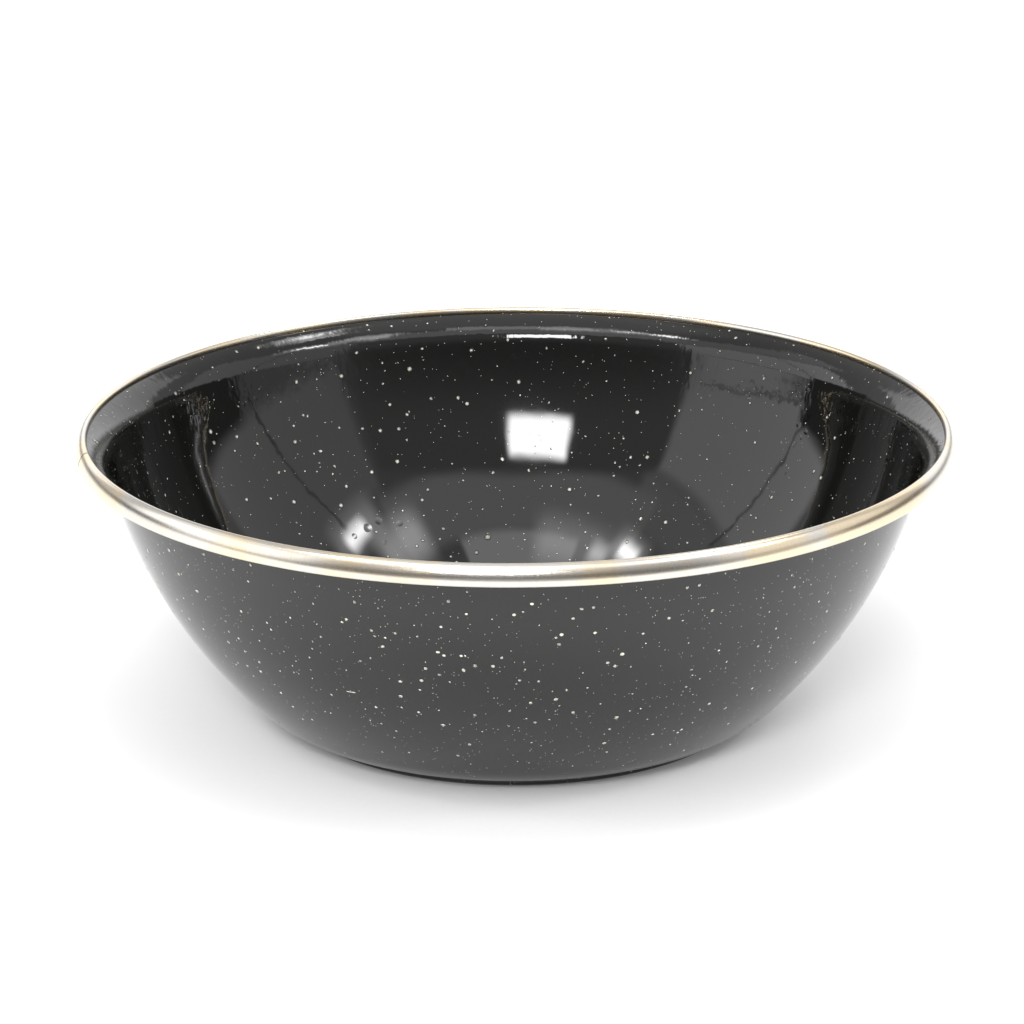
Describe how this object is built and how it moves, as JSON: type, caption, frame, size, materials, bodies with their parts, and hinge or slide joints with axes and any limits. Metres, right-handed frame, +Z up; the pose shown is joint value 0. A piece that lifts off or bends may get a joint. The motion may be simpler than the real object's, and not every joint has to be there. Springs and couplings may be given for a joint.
{
  "type": "enamel bowl",
  "caption": "Round enamelled steel bowl with a deep curved wall, a raised base panel and a stainless band clasped over its flared lip.",
  "frame": {"origin": "centre of the base, on the table that the bowl stands on", "axes": "+Z up along the bowl's axis, +X to the right and +Y away from the viewer of the picture"},
  "size_m": [0.152, 0.152, 0.0513],
  "materials": {
    "pressed_steel": "plain pressed sheet, wholly covered",
    "black_enamel": "glossy black glass coat with white flecks",
    "stainless_band": "bright rolled stainless with fine cross lines",
    "white_flecks": "small glossy drops of white glass fused into the coats"
  },
  "bodies": {
    "root": {"steel_shell": "pressed_steel", "outer_enamel": "black_enamel", "inner_enamel": "black_enamel", "rim_band": "stainless_band"}
  },
  "joints": []
}
